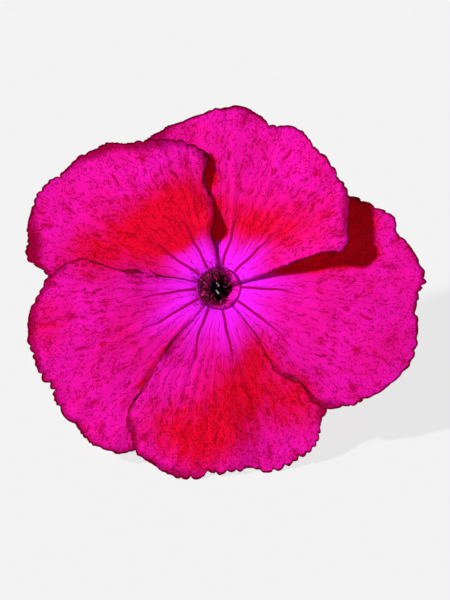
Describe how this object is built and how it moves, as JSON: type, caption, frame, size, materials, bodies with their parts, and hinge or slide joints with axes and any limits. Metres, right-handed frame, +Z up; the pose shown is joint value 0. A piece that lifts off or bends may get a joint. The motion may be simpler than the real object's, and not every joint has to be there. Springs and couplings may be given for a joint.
{
  "type": "sweet william flower",
  "caption": "Picked single flower with overlapping toothed petals on a long tubular calyx, lying face up at a slant on its lower rim and cut stalk.",
  "frame": {"origin": "centre of the footprint's bounding box, on the surface the flower lies on", "axes": "+Z up; +X along the flower's widest spread, to the right as seen from in front of its face; the face looks towards -Y and up, and the stalk points to +Y"},
  "size_m": [0.03, 0.0244, 0.0226],
  "materials": {
    "petal": "soft matt magenta petal tissue with a slight velvet sheen",
    "calyx": "matt green ribbed calyx",
    "bract": "matt green leafy bract",
    "stalk": "smooth green stalk",
    "stamen": "powdery lilac-grey anther on a pale filament",
    "pistil": "pale waxy style and ovary"
  },
  "bodies": {
    "root": {"petal_upper_left": "petal", "petal_top": "petal", "petal_right": "petal", "petal_bottom": "petal", "petal_lower_left": "petal", "calyx": "calyx", "bract_upper": "bract", "bract_left": "bract", "bract_lower": "bract", "bract_right": "bract", "stalk": "stalk", "stamen_01": "stamen", "stamen_02": "stamen", "stamen_03": "stamen", "stamen_04": "stamen", "stamen_05": "stamen", "stamen_06": "stamen", "stamen_07": "stamen", "stamen_08": "stamen", "stamen_09": "stamen", "stamen_10": "stamen", "pistil": "pistil"}
  },
  "joints": []
}
